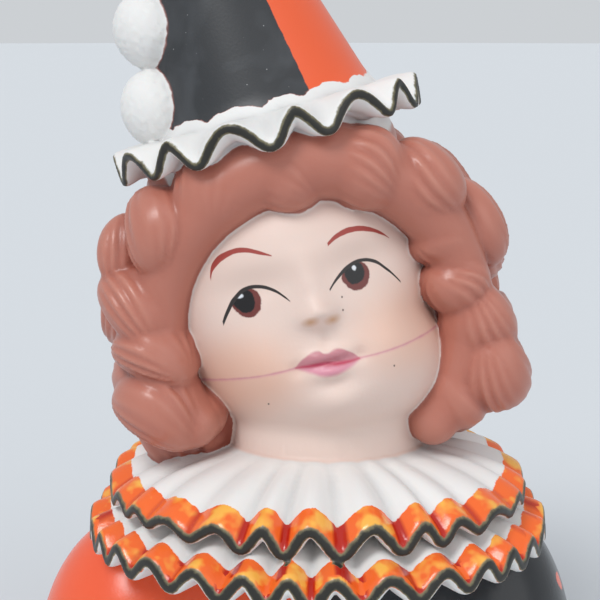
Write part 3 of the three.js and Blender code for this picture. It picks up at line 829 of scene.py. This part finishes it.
heights = low_mm[2] + STEP * np.arange(casting.shape[2])
casting = np.maximum(casting, -heights[None, None, :].astype(np.float32))
grid = openvdb.FloatGrid(background=4.0)
grid.copyFromArray(casting)
cells, triangles, quads = grid.convertToPolygons(0.0, 0.0)
corners = cells.astype(np.float64) * STEP + low_mm
mesh = bpy.data.meshes.new("clown_bust_painted")
faces = np.concatenate([quads[:, [0, 1, 2]], quads[:, [0, 2, 3]]])
mesh.from_pydata([], [], [])
mesh.vertices.add(len(corners))
mesh.vertices.foreach_set("co", (corners * MM).astype(np.float32).ravel())
mesh.loops.add(faces.size)
mesh.loops.foreach_set("vertex_index", faces.astype(np.int32).ravel())
mesh.polygons.add(len(faces))
mesh.polygons.foreach_set("loop_start", np.arange(0, faces.size, 3, dtype=np.int32))
mesh.update(calc_edges=True)
mesh.validate()
bust = bpy.data.objects.new("clown_bust_painted", mesh)
scene.collection.objects.link(bust)

MOST_TRIANGLES = 190000
thin = bust.modifiers.new("thin", "DECIMATE")
thin.ratio = MOST_TRIANGLES / len(faces)
depsgraph = bpy.context.evaluated_depsgraph_get()
thinned = bpy.data.meshes.new_from_object(bust.evaluated_get(depsgraph))
bust.modifiers.clear()
bust.data = thinned
mesh = thinned
print("triangles", len(faces), "->", len(mesh.polygons))

points = np.zeros(len(mesh.vertices) * 3, np.float32)
mesh.vertices.foreach_get("co", points)
points = points.reshape(-1, 3).astype(np.float64) / MM


def sample(field, points):
    """Reads a field at points, straight between its cells."""
    place = (points - low_mm) / STEP
    place = np.clip(place, 0, np.array(field.shape) - 1.001)
    cell = np.floor(place).astype(int)
    share = place - cell
    total = 0
    for corner in np.ndindex(2, 2, 2):
        weight = np.prod(np.where(corner, share, 1 - share), axis=-1)
        at = cell + corner
        total = total + weight * field[at[:, 0], at[:, 1], at[:, 2]]
    return total


def blurred(field, reach):
    """A field with each cell the mean of its neighbours out to the reach, row by row."""
    for axis in range(3):
        padded = np.concatenate([field.take([0] * (reach + 1), axis), field, field.take([-1] * reach, axis)], axis)
        total = np.cumsum(padded, axis, dtype=np.float64)
        width = 2 * reach + 1
        count = field.shape[axis]
        upper = total.take(range(width, width + count), axis)
        field = ((upper - total.take(range(0, count), axis)) / width).astype(np.float32)
    return field


clipped = np.clip(casting, -2.5, 2.5)
soft_field = blurred(clipped, 3)
hollowness = sample(clipped, points) - sample(soft_field, points)

normals = np.zeros_like(points)
for axis in range(3):
    shift = np.zeros(3)
    shift[axis] = STEP
    normals[:, axis] = sample(casting, points + shift) - sample(casting, points - shift)
normals /= np.linalg.norm(normals, axis=-1)[:, None] + 1e-9
mesh.polygons.foreach_set("use_smooth", np.ones(len(mesh.polygons), bool))
mesh.normals_split_custom_set_from_vertices(normals.astype(np.float32))

distances = {name: form(points) for name, form in gaps.items()}
written = {"hollow": hollowness}
for name, distance in distances.items():
    others = np.min([d for other, d in distances.items() if other != name], axis=0)
    written[name] = np.clip(distance - others, -3, 3)
cone_distance = cone(points)
cone_others = np.min([hat_frill(points)] + [d for n, d in distances.items() if n != "hat"], axis=0)
written["cone"] = np.clip(cone_distance - cone_others, -3, 3)

LINE = (0.12, 1.0)
LINE_DEPTH = 0.55
BAND = 2.1
line_value = np.full(len(points), 3.0)
band_value = np.full(len(points), 3.0)
crest_value = np.zeros(len(points))
for frill, table, line, where, distance in (
    (COLLAR_LOWER, lower_table, lower_line, points, lower_tier(points)),
    (COLLAR_UPPER, upper_table, upper_line, points, upper_tier(points)),
    (HAT_FRILL, hat_table, hat_line, local(points, HAT), hat_frill(points)),
):
    above, outside = over_rim(where, frill, table)
    own = np.abs(distance) < 0.45
    stripe = np.maximum(np.maximum(above + LINE[0], -above - LINE[1]), -outside - LINE_DEPTH)
    line_value = np.where(own, np.minimum(line_value, stripe), line_value)
    band_value = np.where(own, np.minimum(band_value, np.maximum(-outside - BAND, -above - LINE[1])), band_value)
    bearing = np.arctan2(where[:, 0], -where[:, 1])
    rise = np.interp(bearing, np.linspace(-math.pi, math.pi, TABLE_TURNS), line) / frill["swing"]
    crest_value = np.where(np.abs(distance) < 1.5, rise, crest_value)
band_value = np.where(np.minimum(distances["hat"], distances["hair"]) < distances["collar"], 3.0, band_value)
written.update(line=np.clip(line_value, -3, 3), band=np.clip(band_value, -3, 3), crest=crest_value)
for name, values in written.items():
    attribute = mesh.attributes.new(name, "FLOAT", "POINT")
    attribute.data.foreach_set("value", values.astype(np.float32))

# The bisque's grain: grit of about 0.2 mm, drawn as coarse as it needs to show.

GRAIN = 0.25
grain = add("ShaderNodeTexNoise", {"Vector": place_mm, "Scale": 1 / GRAIN, "Detail": 3}).outputs[0]
bump = {"Height": grain, "Distance": 0.02 * MM, "Strength": 0.5}
bump = add("ShaderNodeBump", bump).outputs[0]
clay = {
    "Base Color": painted["colour"], "Roughness": painted["roughness"], "Normal": bump,
    "IOR": 1.5, "Subsurface Weight": 0.12, "Subsurface Scale": 1.2 * MM,
    "Subsurface Radius": (1.0, 0.6, 0.45),
}
clay = add("ShaderNodeBsdfPrincipled", clay)
add("ShaderNodeOutputMaterial", {"Surface": clay.outputs[0]})
mesh.materials.clear()
mesh.materials.append(material)
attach(bust, "root")
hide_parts("clown_bust")

# The studio: a wide pale floor under a white sky, a soft light above the figure's right and a fill.

floor_mesh = bpy.data.meshes.new("floor")
ring = [(3 * math.cos(t * math.pi / 32), 3 * math.sin(t * math.pi / 32), 0) for t in range(64)]
floor_mesh.from_pydata(ring, [], [tuple(range(64))])
floor = bpy.data.objects.new("floor", floor_mesh)
scene.collection.objects.link(floor)
paper = bpy.data.materials.new("pale grey paper")
paper.use_nodes = True
paper.node_tree.nodes["Principled BSDF"].inputs["Base Color"].default_value = hex_colour("#D4D8DC")
paper.node_tree.nodes["Principled BSDF"].inputs["Roughness"].default_value = 0.9
floor_mesh.materials.append(paper)
world = bpy.data.worlds.new("studio")
scene.world = world
world.use_nodes = True
world.node_tree.nodes["Background"].inputs[0].default_value = hex_colour("#E8ECF0")
world.node_tree.nodes["Background"].inputs[1].default_value = 0.75
for name, place, spread, strength in (
    ("key", (-0.5, -0.8, 1.1), 22, 1.5),
    ("fill", (0.8, -0.9, 0.5), 60, 0.5),
):
    light = bpy.data.objects.new(name, bpy.data.lights.new(name, "SUN"))
    light.data.angle = math.radians(spread)
    light.data.energy = strength
    light.location = place
    light.rotation_euler = (target - light.location).to_track_quat("-Z", "Y").to_euler()
    scene.collection.objects.link(light)
